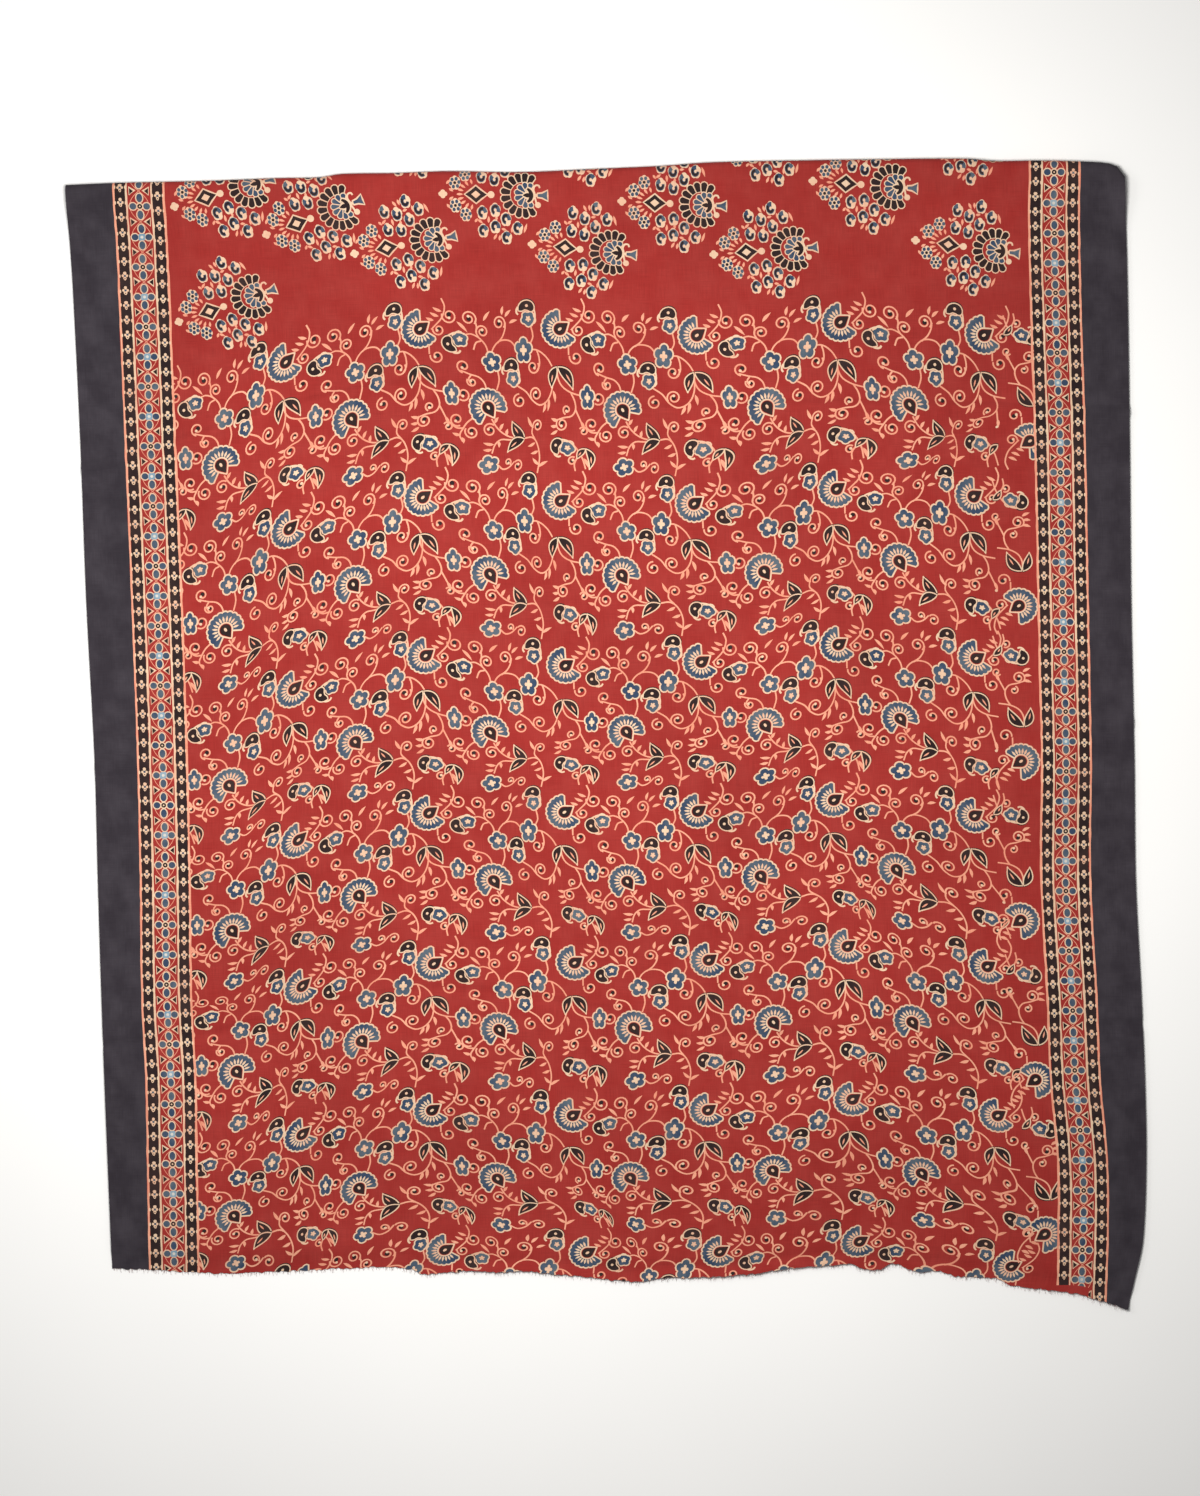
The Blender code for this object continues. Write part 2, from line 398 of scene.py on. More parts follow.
# Where the medallions were printed
# Columns: x and y of the ball, how far the axis rises to the right, in degrees
MEDALLIONS = (
    (-416, 582, 15.5),
    (-319, 556, 19.5),
    (-221, 527, 10.0),
    (-413, 461, 18.5),
    (-124, 581, -1.0),
    (-28, 523, -6.0),
    (69, 572, -2.5),
    (168, 521, 4.0),
    (275, 592, -4.0),
    (386, 526, -7.5),
    (-221, 647, 10.0),
    (-27, 643, -6.0),
    (168, 641, 4.0),
    (384, 645, -7.5),
)

# The border's bands, from the selvedge inwards. Columns: ink, width
BORDER_BANDS = (
    ("line", 2.3),
    ("black", 11.2),
    ("cream", 2.1),
    ("red", 24.6),
    ("cream", 2.0),
    ("black", 11.0),
    ("line", 2.3),
)
BORDER_FLOWER_PITCH = 32.3
BORDER_KNOT_PITCH = 15.75
# Columns: which way the petal points, how far out its middle is, half its length, half its width
BORDER_PETALS = ((90, 8.8, 4.6, 3.3), (0, 7.3, 3.7, 3.5), (270, 8.8, 4.6, 3.3), (180, 7.3, 3.7, 3.5))
# Columns: side, y of one pale-hearted flower
BORDER_SIDES = (("left", 148.5), ("right", 120.5))

# The strip at the right of the raw end that was left unprinted: where it starts and ends across, its height
BARE_STRIP = (0.875, 0.958)
BARE_HEIGHT = 9.0

# What lies nearer than this to the loom's edge is under the border
FIELD_EDGE = 95.0

# The mesh
GRID_PITCH = 8.0
UNDER_PITCH = 14.0
RAGGED_PITCH = 3.0
WELD = 0.002
CREASE_OFFSETS = (-9, -6, -3.5, -1.2, 1.2, 3.5, 6, 9)
ROLL_ROWS = 12
END_OFFSETS = (4, 9, 15, 21)
FRONT_COLUMNS = 3
FRONT_CUTS = (-212.0, 198.0)
BACK_COLUMNS = 2
BACK_CUTS = (1015.0, 1408.0)
# How a piece's colour map is shared out, from its bottom up: the reverse, the edge all round, the face
REVERSE_IN_MAP = 0.04
EDGE_IN_MAP = (0.045, 0.055)
FACE_IN_MAP = 0.06
CLOTH_MAP = "cloth_metres"

# The raw end
FRAY_LENGTHS = (0.8, 4.6)
FRAY_SPACING = (0.8, 3.0)
FRAY_ROOT = 2.5
FRAY_STEPS = 5
THREAD_RADIUS = 0.22

# Columns: ink, its colour, the colour it has faded or bled to, how far
INKS = (
    ("red", (145, 42, 38), (153, 54, 49), 0.6),
    ("cream", (217, 187, 157), (212, 160, 132), 0.8),
    ("line", (225, 158, 130), (215, 132, 106), 0.8),
    ("black", (40, 29, 29), (60, 44, 42), 0.7),
    ("blue", (52, 66, 88), (90, 100, 108), 0.9),
    ("pale", (116, 144, 162), (154, 167, 173), 0.8),
    ("white", (204, 198, 188), (187, 183, 175), 0.8),
    ("selvedge", (49, 44, 50), (63, 58, 64), 0.8),
    ("reverse", (125, 46, 42), (137, 57, 51), 0.7),
)
INK_ORDER = tuple(row[0] for row in INKS)
THREAD_DARK = (74, 32, 34)
THREAD_RED = (160, 60, 54)
WEAVE_BUMP = 0.35
WEAVE_HEIGHT = 0.12

# The room
FLOOR_HALF = 3000.0
FLOOR_DROP = 0.3
FLOOR_COLOUR = (250, 249, 247)
FLOOR_MOTTLE = 5
ROOM_LIGHT = 0.23
# Columns: name, place, what it is aimed at, size, power in watts, tint
LIGHTS = (
    ("key", (-105.0, 150.0, 1400.0), (-105.0, 150.0, 0.0), 600.0, 25.6, (1.0, 0.99, 0.97)),
    ("fill", (-1500.0, 700.0, 1500.0), (0.0, 0.0, 0.0), 900.0, 7.2, (0.97, 0.98, 1.0)),
)
LENS = 70.0
SENSOR = 36.0
VIEW_TALL = 1616.0
VIEW_MIDDLE = (-6.5, -15.7)


def smooth_through(rows, at, column=1):
    """The values at some stations, on a curve that runs smoothly through a column of a table."""
    stations = np.array([row[0] for row in rows], float)
    values = np.array([row[column] for row in rows], float)
    last = len(rows) - 1
    low = np.maximum(np.arange(last + 1) - 1, 0)
    high = np.minimum(np.arange(last + 1) + 1, last)
    slopes = (values[high] - values[low]) / (stations[high] - stations[low])
    at = np.clip(at, stations[0], stations[-1])
    k = np.clip(np.searchsorted(stations, at, side="right") - 1, 0, last - 1)
    span = stations[k + 1] - stations[k]
    f = (at - stations[k]) / span
    start = values[k] * (1 + 2 * f) * (1 - f) ** 2 + slopes[k] * span * f * (1 - f) ** 2
    end = values[k + 1] * f * f * (3 - 2 * f) + slopes[k + 1] * span * f * f * (f - 1)
    return start + end


def ease(f):
    """Rises smoothly from 0 to 1."""
    f = np.clip(f, 0.0, 1.0)
    return f * f * (3 - 2 * f)


def soft_ridge(distance, half_width):
    """1 on a ridge's line, 0 from its half width on."""
    f = np.minimum(np.abs(distance) / half_width, 1.0)
    return (1 - f * f) ** 2


def roll_start(u):
    """The y where the front layer turns into the roll."""
    return smooth_through(ROLL_LINE, u / LOOM_WIDTH) - ROLL_RADIUS


def roll_end(u):
    """The y where the roll has turned over into the back layer."""
    return roll_start(u) + pi * ROLL_RADIUS


def lower_end(u):
    return smooth_through(LOWER_END, u / LOOM_WIDTH)


def back_end(u):
    """The y where the back layer ends, counted on along the cloth."""
    return roll_end(u) + roll_start(u) - lower_end(u) - BACK_SHORTER


def relief(across, x, y):
    """How far the front layer's creases and swells stand above its resting height."""
    height = np.zeros_like(x)
    for number, crease in enumerate(CREASE_HEIGHTS):
        line_y = smooth_through(CREASE_LINES, across, number + 1)
        height += crease * soft_ridge(y - line_y, CREASE_HALF_WIDTH)
    left, right = smooth_through(SELVEDGES, y, 1), smooth_through(SELVEDGES, y, 2)
    middle_x = left + (right - left) * MIDDLE_CREASE_ACROSS
    height += smooth_through(MIDDLE_CREASE, y) * soft_ridge(x - middle_x, MIDDLE_CREASE_HALF_WIDTH)
    for swell in SWELLS:
        dx, dy = x - swell["x"], y - swell["y"]
        along = (dx + dy * swell["lean"]) / swell["long"]
        over = (dy - dx * swell["lean"]) / swell["wide"]
        height += swell["height"] * soft_ridge(np.hypot(along, over), 1.0)
    return height


def front_height(u, x, y):
    across = u / LOOM_WIDTH
    from_end = y - lower_end(u)
    shoulder = 1 - ease((roll_start(u) - y) / ROLL_SHOULDER)
    drop = 1 - ease(from_end / END_DROP_WIDTH)
    curl = (1 - ease(from_end / END_CURL_WIDTH)) * smooth_through(END_CURL, across)
    lying = FACE_HEIGHT + relief(across, x, y) * ease(from_end / END_DROP_WIDTH)
    height = lying + (2 * ROLL_RADIUS - lying) * shoulder
    return height + (SOLID_THICKNESS - height) * drop + curl


def lie(u, y):
    """Where places on the printed face lie: an array of points, in metres."""
    across = u / LOOM_WIDTH
    start = roll_start(u)
    turn = np.clip((y - start) / ROLL_RADIUS, 0, pi)
    back = np.maximum(y - roll_end(u), 0)
    row = np.minimum(y, start) - back
    left, right = smooth_through(SELVEDGES, row, 1), smooth_through(SELVEDGES, row, 2)
    inset = BACK_NARROWER * ease(back / 100) * (1 - 2 * across)
    x = left + (right - left) * across + inset
    height = np.where(turn > 0, ROLL_RADIUS * (1 + np.cos(turn)), front_height(u, x, row))
    return np.column_stack((x, row + ROLL_RADIUS * np.sin(turn), height)) * MM


def facing(u, y, step=0.4):
    """Which way the printed face looks at some places."""
    over = lie(u + step, y) - lie(u - step, y)
    up = lie(u, y + step) - lie(u, y - step)
    normals = np.cross(over, up)
    return normals / np.linalg.norm(normals, axis=1)[:, None]


# Shapes of ink: each a tuple of an ink and the points of its outline, the later ones over the earlier


def arc(x, y, radius, start, end, count):
    """Points round a middle, by angles counterclockwise from the right. The radius may change on the way."""
    angles = np.radians(np.linspace(start, end, count))
    return np.column_stack((x + radius * np.cos(angles), y - radius * np.sin(angles)))


def disc(x, y, radius, count=9):
    return arc(x, y, radius, 0, 360 * (count - 1) / count, count)


def oval(x, y, long, wide, lean=0.0, lobes=0, depth=0.0, count=12):
    """An oval of half height long and half width wide, with lobes if it has any, turned by lean."""
    angles = np.arange(count) * 2 * pi / count
    reach = 1 + depth * np.cos(lobes * (angles - pi / 2))
    across, up = wide * reach * np.cos(angles), long * reach * np.sin(angles)
    c, s = cos(radians(lean)), sin(radians(lean))
    return np.column_stack((x + across * c - up * s, y - across * s - up * c))


def outward(points):
    """The outward direction at each point of a closed outline."""
    ahead = np.roll(points, -1, axis=0) - np.roll(points, 1, axis=0)
    side = np.column_stack((ahead[:, 1], -ahead[:, 0]))
    side /= np.maximum(np.linalg.norm(side, axis=1), 1e-6)[:, None]
    return side * np.sign(signed_area(points))


def signed_area(points):
    x, y = points.T
    return 0.5 * float(np.sum(x * np.roll(y, -1) - np.roll(x, -1) * y))


def rimmed(ink, points, rim=1.25):
    """A shape with the cream rim that the resist leaves round it."""
    return [("cream", points + outward(points) * rim), (ink, points)]


def smooth_path(places, per_span=4):
    """A smooth path through some places."""
    places = np.array(places, float)
    stations = np.concatenate(([0.0], np.cumsum(np.linalg.norm(np.diff(places, axis=0), axis=1))))
    spans = len(places) - 1
    at = np.interp(np.linspace(0, spans, spans * per_span + 1), range(len(places)), stations)
    rows = np.column_stack((stations, places))
    return np.column_stack((smooth_through(rows, at, 1), smooth_through(rows, at, 2)))


def stroke(path, width, thin_end=1.0):
    """A line of ink along a path, its far end thinned."""
    ahead = np.gradient(path, axis=0)
    ahead /= np.linalg.norm(ahead, axis=1)[:, None]
    side = np.column_stack((-ahead[:, 1], ahead[:, 0]))
    half = width / 2 * np.linspace(1.0, thin_end, len(path))[:, None]
    return np.vstack((path + side * half, (path - side * half)[::-1]))


def leaf_outline(start, tip, bulge, width, count=7):
    """An almond from its stalk to its tip, bent to one side."""
    start, tip = np.array(start, float), np.array(tip, float)
    along = tip - start
    side = np.array((-along[1], along[0])) / np.linalg.norm(along)
    f = np.linspace(0, 1, count)[:, None]
    spine = start + along * f - side * bulge * 4 * f * (1 - f)
    half = side * width / 2 * np.sin(pi * f**0.85)
    return np.vstack((spine + half, (spine - half)[-2:0:-1])), spine


def tick(x, y, tip_x, tip_y):
    return [("line", leaf_outline((x, y), (tip_x, tip_y), 0.6, 3.1, 6)[0])]


def leaf(x, y, tip_x, tip_y, bulge, width):
    """A black leaf in its rim, with the black that missed the rim showing beyond it."""
    outline, spine = leaf_outline((x, y), (tip_x, tip_y), bulge, width, 11)
    missed = outline + outward(outline) * 1.1 + MISSED_BY
    tip = leaf_outline(spine[-2], spine[-1] + (spine[-1] - spine[-3]) * 0.5, 0, 2.4, 5)[0]
    vein = leaf_outline(spine[4], spine[8], 0, 1.5, 5)[0]
    return [("black", missed), ("cream", tip)] + rimmed("black", outline, 1.2) + [("line", vein)]


def fan(x, y, points_to, hand, sweep):
    """A fan flower: a ring of blue petals round a black teardrop that points out of the ring's gap."""
    petals, start = 14, points_to + hand * 57
    f = np.linspace(0, 1, petals * 4 + 1)
    scallops = 1.2 * np.abs(np.sin(pi * petals * f)) ** 0.8
    reach = 16.6 + 1.4 * (1 - f) ** 4 + scallops
    end = start + hand * sweep
    outer = arc(x, y, reach, start, end, len(f))
    inner = arc(x, y, 7.7, end, start, 24)
    ring = np.vstack((outer, inner))
    shapes = rimmed("blue", ring, 1.6)
    shapes.append(("cream", teardrop(x, y, points_to, 7.9, 12.0)))
    for k in range(1, petals):
        angle = start + hand * sweep * k / petals
        root, point = arc(x, y, 7.6, angle, angle, 1)[0], arc(x, y, 14.0, angle, angle, 1)[0]
        shapes.append(("cream", leaf_outline(root, point, 0, 2.2, 5)[0]))
    shapes += [("red", teardrop(x, y, points_to, 6.3, 9.9)), ("black", teardrop(x, y, points_to, 5.6, 9.4))]
    shapes.append(("cream", oval(x, y, 1.4, 2.2, points_to, count=8)))
    return shapes


def teardrop(x, y, points_to, radius, reach):
    body = arc(x, y, radius, points_to + 48, points_to + 312, 16)
    return np.vstack((body, arc(x, y, reach, points_to - 3, points_to + 3, 2)))


def petalled(x, y, long, wide, lean, petals, depth, steps=6):
    """An outline of round petals with sharp notches between them."""
    angles = np.arange(petals * steps) * 2 * pi / (petals * steps)
    reach = 1 - depth + depth * np.abs(np.cos(petals / 2 * angles)) ** 0.8
    across, up = wide * reach * np.sin(angles), long * reach * np.cos(angles)
    return turned(np.column_stack((across, up)), x, y, lean + 90)


def star(x, y, long, wide, lean):
    """A five-petalled blue flower with a cream heart."""
    petals = petalled(x, y, long, wide, lean, 5, 0.3)
    heart = petalled(x, y, long * 0.46, wide * 0.44, lean, 4, 0.5, 4)
    return rimmed("blue", petals, 1.6) + [("cream", heart)]


def turned(points, x, y, up):
    """Points drawn with their top up, set at a place with their top to an angle."""
    c, s = cos(radians(up - 90)), sin(radians(up - 90))
    across, along = points.T
    return np.column_stack((x + across * c - along * s, y - across * s - along * c))


def bud(x, y, points_to, size):
    """A black bud with a curling tip, on a small blue blossom, with a line running down one side of both."""
    def drawn(points):
        return turned(np.array(points, float) * size, x, y, points_to)

    head, hook = drawn(smooth_path(BUD_HEAD, 2)[:-1]), drawn(smooth_path(BUD_HOOK, 3))
    side = drawn(smooth_path(BUD_SIDE, 3))
    shapes = rimmed("blue", petalled(x, y, 7.3, 7.0, points_to + 90, 5, 0.3, 5), 1.4)
    shapes.append(("cream", petalled(x, y, 3.2, 2.8, points_to + 90, 5, 0.45, 4)))
    shapes.append(("black", head + outward(head) * 1.2 + MISSED_BY))
    shapes += [("cream", stroke(hook, 2.0, 0.9)), ("cream", stroke(side, 1.7, 0.8))]
    return shapes + rimmed("black", head, 1.2) + [("cream", drawn(disc(0, 0, 1.5, 8) + (-0.6, 13.0)))]


def spiral(x, y, radius, start, hand, turns):
    """A tendril that winds in to a black dot."""
    count = round(15 * turns) + 2
    f = np.linspace(0, 1, count)
    path = arc(x, y, radius * (1 - 0.72 * f**1.4), start, start + hand * 360 * turns, count)
    end = path[-1] - (x, y)
    dot = disc(x - end[0] * 0.5, y - end[1] * 0.5, 0.2 * radius + 0.9, 9) + (0.0, -0.5)
    return [("black", dot), ("line", stroke(path, 1.6, 0.9)), ("cream", disc(*path[-1], 1.45, 8))]


def stem(places):
    return [("line", stroke(smooth_path(places, 3), 1.6, 0.9))]


def block():
    """Everything that one printing block prints."""
    shapes = []
    for motif, rows in ((tick, TICKS), (spiral, SPIRALS)):
        for row in rows:
            shapes += motif(*row)
    for places in STEMS:
        shapes += stem(places)
    for motif, rows in ((leaf, LEAVES), (star, STARS), (bud, BUDS), (fan, FANS)):
        for row in rows:
            shapes += motif(*row)
    return shapes


def little_flower(x, y, opens_to):
    """A cream flower with a dark hook in it."""
    petals = petalled(x, y, 7.3, 5.6, 0, 5, 0.14, 4)
    start, end = opens_to + 48, opens_to + 330
    dark = stroke(arc(0, 0, np.linspace(3.3, 2.5, 11), start, end, 11), 3.7, 0.75) * (1, 1.28) + (x, y)
    deep = stroke(arc(0, 0, np.linspace(3.2, 2.3, 8), start + 70, end - 12, 8), 1.9, 0.9) * (1, 1.28) + (x, y)
    return [("cream", petals), ("blue", dark), ("black", deep)]


def spotted_flower(x, y):
    shapes = [("cream", petalled(x, y, 7.2, 6.0, 0, 7, 0.14, 4))]
    shapes += [("blue", oval(*place, 2.0, 1.7, count=7)) for place in arc(x, y, 4.1, 10, 310, 6)]
    return shapes + [("black", disc(x, y, 1.6, 7))]


def petal(x, y, angle, near, far, near_half, far_half):
    """A petal of a fan: straight at its root and round at its far end."""
    round_end = arc(0, 0, far_half, -72, 72, 5) + (far - far_half, 0)
    outline = np.vstack(((near, near_half), round_end[::-1] * (1, -1), (near, -near_half)))
    c, s = cos(radians(angle)), sin(radians(angle))
    along, across = outline.T
    return np.column_stack((x + along * c - across * s, y - along * s - across * c))


def medallion_fan():
    """The big half flower: black petals round blue ones, with a black core and a trumpet."""
    shapes = []
    for k in range(12):
        angle = 62 + 236 * k / 11
        shapes += rimmed("black", petal(MEDALLION_FAN, 0, angle, 12.8, 22.2, 2.1, 3.2), 1.1)
    for k in range(8):
        angle = 70 + 220 * k / 7
        shapes += rimmed("blue", petal(MEDALLION_CORE - 1, 0, angle, 3.6, 12.4, 1.0, 2.5), 1.0)
    cap_front = arc(MEDALLION_CORE - 2.4, 0, 7.6, -72, 72, 10)
    cap_back = arc(MEDALLION_CORE - 6.4, 0, 7.6, 50, -50, 6)
    cap = np.vstack((cap_front, cap_back))
    stalk = leaf_outline((MEDALLION_CORE + 3.5, 0), (MEDALLION_CORE - 5.5, 0), 0, 4.4, 6)[0]
    shapes += rimmed("black", stalk, 1.2) + rimmed("black", cap, 1.4) + [("black", stalk)]
    shapes.append(("cream", stroke(np.array(((MEDALLION_CORE + 5.6, 0), (MEDALLION_CORE + 11.5, 0))), 3.0)))
    bell = np.array(((0, -1.3), (4.5, -1.8), (9.6, -4.6), (9.0, 0), (9.6, 4.6), (4.5, 1.8), (0, 1.3)))
    shapes += rimmed("blue", bell + (MEDALLION_CORE + 9.5, 0), 1.6)
    curl = ((6.5, -1.5), (5.4, -6.0), (7.4, -9.6), (10.6, -9.6), (11.6, -7.2))
    shapes.append(("cream", stroke(smooth_path(np.array(curl) + (MEDALLION_CORE, 0), 3), 1.9, 0.9)))
    hang = stroke(np.array(((MEDALLION_CORE + 6.5, 1.5), (MEDALLION_CORE + 8.0, 7.5))), 1.8)
    return shapes + [("cream", hang), ("cream", disc(MEDALLION_CORE + 9.4, 9.2, 3.0, 10))]


def lozenge():
    """The black lozenge with its cream eye, the ball beside it and the rays round its outer side."""
    middle = MEDALLION_LOZENGE
    corners = smooth_path(((11.4, 0), (0.6, 8.0), (-10.0, 0), (0.6, -8.0), (11.4, 0)), 1)[:-1]
    sides = corners * 0.47 + np.roll(corners, -1, axis=0) * 0.47
    corners = np.stack((corners, sides), axis=1).reshape(-1, 2)
    eye = np.array(((5.0, 0), (0.5, 3.7), (-4.0, 0), (0.5, -3.7))) + (middle, 0)
    shapes = []
    for angle in range(104, 264, 19):
        near, far = (np.array((cos(radians(angle)) * reach * 1.22, -sin(radians(angle)) * reach))
                     for reach in (9.8, 15.4))
        shapes.append(("line", leaf_outline(far + (middle, 0), near + (middle, 0), 0, 2.5, 5)[0]))
    shapes.append(("cream", stroke(np.array(((middle + 9, 0), (-2.0, 0))), 2.6)))
    shapes += rimmed("black", corners + (middle, 0), 1.6)
    return shapes + [("cream", eye), ("cream", disc(0, 0, 3.5, 10))]


def medallion():
    shapes = []
    for side in (1, -1):
        for x, y, thin_x, thin_y in MEDALLION_TICKS:
            shapes.append(("line", leaf_outline((x, y * side), (thin_x, thin_y * side), 0, 2.6, 5)[0]))
        for x, y in SPOTTED_FLOWERS:
            shapes += spotted_flower(x, y * side)
        for x, y, opens_to in LITTLE_FLOWERS:
            shapes += little_flower(x, y * side, -opens_to if side > 0 else opens_to)
    shapes.append(("cream", petalled(MEDALLION_TIP, 0, 4.5, 4.3, 90, 4, 0.24, 4)))
    return shapes + medallion_fan() + lozenge()


def weft_drop(u):
    return smooth_through(WEFT_BOW, u / LOOM_WIDTH)


def meant_place(column, row, points):
    """Where points of the chart would come out, had the printer set every block on its mark."""
    u = BLOCK_COLUMNS[column] + points[:, 0] * SQUARE
    y = smooth_through(BLOCK_ROWS, row + points[:, 1] / BLOCK_SQUARES[1])
    return np.column_stack((u, y - weft_drop(u)))


def on_cloth(places):
    """Places seen from above, as u and y on the front layer."""
    x, y = np.array(places, float).T
    left, right = smooth_through(SELVEDGES, y, 1), smooth_through(SELVEDGES, y, 2)
    return np.column_stack(((x - left) / (right - left) * LOOM_WIDTH, y))


def block_nudges():
    """How far each listed fan is from its mark: its column and row, counted in blocks, and its nudge."""
    spots, nudges = [], []
    for rows, fan_row, first in ((UPPER_FANS, FANS[0], 1), (LOWER_FANS, FANS[1], 0)):
        chart = np.array([fan_row[:2]], float)
        for row, places in enumerate(rows):
            for k, place in enumerate(on_cloth(places)):
                meant = meant_place(first + k, row, chart)[0]
                spots.append((first + k, row) + chart[0] / BLOCK_SQUARES)
                nudges.append(place - meant)
    return np.array(spots), np.array(nudges)


def set_block(points, row, column, held):
    """Where the points of a block's chart came out, drawn along by the fans near them."""
    spots, nudges = held
    at = (column, row) + points / BLOCK_SQUARES
    distance = np.linalg.norm(at[:, None, :] - spots[None, :, :], axis=2)
    pull = np.exp(-((distance / HOLD) ** 2)) + 1e-9
    nudge = (pull @ nudges) / pull.sum(axis=1)[:, None]
    return meant_place(column, row, points) + nudge


def set_medallion(points, ball, rise):
    """A medallion's points on the cloth: its ball at a place, and its axis at an angle."""
    c, s = cos(radians(rise)), sin(radians(rise))
    over, down = points.T * SQUARE
    return ball + np.column_stack((over * c + down * s, over * s - down * c))


def field():
    """The field's blocks, row by row, and the turned blocks that fill its right edge."""
    chart = block()
    middles = [points[:, 0].mean() for _, points in chart]
    held = block_nudges()
    shapes = []
    for row in range(len(UPPER_FANS)):
        for column in range(len(BLOCK_COLUMNS)):
            last = column == len(BLOCK_COLUMNS) - 1
            for (ink, points), middle in zip(chart, middles):
                if not last or middle < 22:
                    shapes.append((ink, set_block(points, row, column, held)))
    for fan_u, fan_y in on_cloth(TURNED_FANS):
        for (ink, points), middle in zip(chart, middles):
            if middle < 25:
                u = fan_u - points[:, 0] * SQUARE
                shapes.append((ink, np.column_stack((u, fan_y + points[:, 1] * SQUARE * 0.95))))
    return [(ink, points) for ink, points in shapes if points[:, 0].min() < LOOM_WIDTH - FIELD_EDGE
            and points[:, 0].max() > FIELD_EDGE]


def at_side(side, points):
    """Places given by their distance in from the selvedge and their y, on the cloth."""
    into, y = points.T
    u = smooth_through(SELVEDGES, y, 3 if side == "left" else 4) + into
    return np.column_stack((u if side == "left" else LOOM_WIDTH - u, y))


def long_band(side, inner, outer, draws, low, high):
    """A band along the selvedge, its edges as unsteady as the printer's hand."""
    y = np.arange(low, high, 9.0)
    edges = []
    for into in (inner, outer):
        wobble = np.array([draws.uniform(-0.4, 0.4) for _ in y])
        edges.append(at_side(side, np.column_stack((into + wobble, y))))
    return np.vstack((edges[0], edges[1][::-1]))


def border_flower(into, y, pale):
    shapes = []
    for angle, reach, long, wide in BORDER_PETALS:
        middle = arc(into, y, reach, angle, angle, 1)[0]
        shapes += rimmed("blue", oval(*middle, long, wide, angle - 90, count=11), 1.2)
    if pale:
        return shapes + [("pale", oval(into, y, 4.2, 3.8, 45, 4, 0.16, 16)), ("white", disc(into, y, 1.7, 8))]
    shapes += [("cream", disc(into, y, 3.9)), ("black", disc(into, y, 2.7))]
    return shapes + [("cream", disc(into, y, 0.95, 6))]


def border_lattice(into, y, draws):
    """The fine lines that part two border flowers, with the spotted leaf on each side of their crossing."""
    shapes = []
    half = BORDER_FLOWER_PITCH / 2
    f = np.linspace(-1, 1, 13)
    for side in (-1, 1):
        path = np.column_stack((into + side * 10.4 * (1 - (1 - np.abs(f)) ** 2) * np.sign(f), y + f * half))
        shapes.append(("line", stroke(path, 0.6)))
    for side in (-1, 1):
        corners = np.array(((-2.8, -5.0), (-3.2, 4.8), (0.4, 2.8), (4.6, 0.4), (0.2, -2.6)))
        corners = corners * (-side, 1) + (into + side * 7.8, y + draws.uniform(-0.6, 0.6))
        wedge = np.array(((-2.2, -3.6), (-2.4, 3.2), (2.0, 0.0))) * (-side, 1) + (into + side * 7.8, y)
        shapes += [("cream", corners), ("black", wedge)]
    return shapes


def border_knot(into, y, draws):
    """The small knot that repeats along a black band, with a bump on each edge of the band beside it."""
    low, high, lean = (draws.uniform(-1, 1) for _ in range(3))
    shapes = []
    for up in (-1, 1):
        shapes.append(("cream", oval(into, y + up * 2.7, 2.1, 1.8 + 0.3 * up * low, 14 * lean, 3, 0.1, 9)))
    for side in (-1, 1):
        shapes.append(("cream", oval(into + side * 2.2, y + 0.4 * high, 1.5, 1.4, -14 * lean, count=8)))
        shapes.append(("cream", oval(into + side * 5.5, y - 0.4 + low, 2.0, 0.9, count=8)))
    return shapes + [("blue", disc(into, y, 1.3, 7)), ("black", disc(into, y - 3.1, 0.7, 6))]


def border(side, pale_y, draws, low, high, plain=False):
    """One selvedge's border and its plain black selvedge."""
    shapes = []
    into = 0.0
    for ink, width in BORDER_BANDS:
        shapes.append((ink, long_band(side, into, into + width, draws, low, high)))
        into += width
    drawn = []
    if not plain:
        drawn = border_motifs(pale_y, low, high, draws)
    shapes += [(ink, at_side(side, points)) for ink, points in drawn]
    return shapes + [("selvedge", long_band(side, -60.0, 0.0, draws, low, high))]


def border_motifs(pale_y, low, high, draws):
    """What is printed on the bands, by distance in from the selvedge and y."""
    widths = [width for _, width in BORDER_BANDS]
    outer, flowers = widths[0] + widths[1] / 2, sum(widths[:3]) + widths[3] / 2
    inner = sum(widths[:5]) + widths[5] / 2
    shapes = []
    first = round((low - pale_y) / BORDER_FLOWER_PITCH)
    for k in range(first, first + round((high - low) / BORDER_FLOWER_PITCH) + 1):
        y = pale_y + k * BORDER_FLOWER_PITCH
        shapes += border_lattice(flowers, y + BORDER_FLOWER_PITCH / 2, draws)
        shapes += border_flower(flowers + draws.uniform(-0.4, 0.4), y, pale=k % 2 == 0)
    for number, into in enumerate((outer, inner)):
        for y in np.arange(low + 7.0 * number, high, BORDER_KNOT_PITCH):
            shapes += border_knot(into, y + draws.uniform(-0.4, 0.4), draws)
    return shapes


def bare_margin():
    """Past the last rows of the border on the right, the cloth was left unprinted up to its cut end."""
    across = np.linspace(*BARE_STRIP, 14)
    u = across * LOOM_WIDTH
    height = BARE_HEIGHT * ease((across - BARE_STRIP[0]) / 0.08)
    top = np.column_stack((u, lower_end(u) + height))
    bottom = np.column_stack((u, lower_end(u) - 8.0))
    return [("red", np.vstack((top, bottom[::-1])))]


